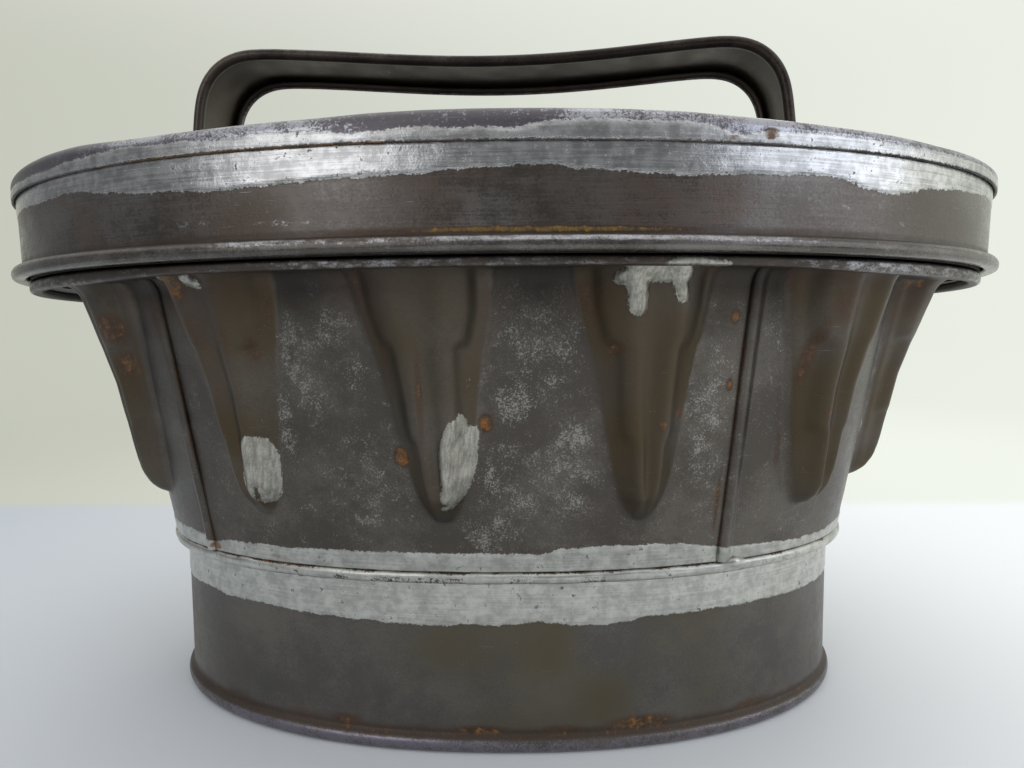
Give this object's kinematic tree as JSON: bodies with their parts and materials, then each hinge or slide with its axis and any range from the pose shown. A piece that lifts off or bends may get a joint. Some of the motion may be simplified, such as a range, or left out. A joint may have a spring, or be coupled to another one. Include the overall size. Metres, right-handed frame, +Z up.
{
  "type": "pudding mould",
  "caption": "Oval tinplate pudding mould: a flared, fluted body on a hollow foot, with an upright collar and a lap-over lid that has a strap handle.",
  "frame": {"origin": "centre of the object's box at the level the foot stands on", "axes": "+X along the oval's length, to the right seen from the front; +Y to the back; +Z up"},
  "size_m": [0.2446, 0.1712, 0.1681],
  "materials": {
    "worn_tinplate": "dark, worn tin coating with rust specks",
    "foot_tinplate": "dark, worn tin coating",
    "brim_tinplate": "dark, worn tin coating",
    "lid_tinplate": "worn tin coating, brighter where it was soldered",
    "blackened_strap": "blackened by handling and heat, with a satin sheen",
    "iron_wire": "bare iron wire inside a rolled edge"
  },
  "bodies": {
    "mould": {"body_panel_1": "worn_tinplate", "body_panel_2": "worn_tinplate", "body_panel_3": "worn_tinplate", "body_panel_4": "worn_tinplate", "bottom_plate": "worn_tinplate", "brim": "brim_tinplate", "hoop_wire": "iron_wire", "mouth_collar": "brim_tinplate", "foot_band": "foot_tinplate", "foot_rim_wire": "iron_wire"},
    "lid": {"lid_top": "lid_tinplate", "lid_band": "lid_tinplate", "lid_rim_wire": "iron_wire", "handle_strap": "blackened_strap", "handle_wire_front": "iron_wire", "handle_wire_back": "iron_wire"}
  },
  "joints": [
    {"name": "lid_lift", "type": "slide", "parent": "mould", "child": "lid", "axis": [0, 0, 1], "range_m": [0, 0.06]}
  ]
}
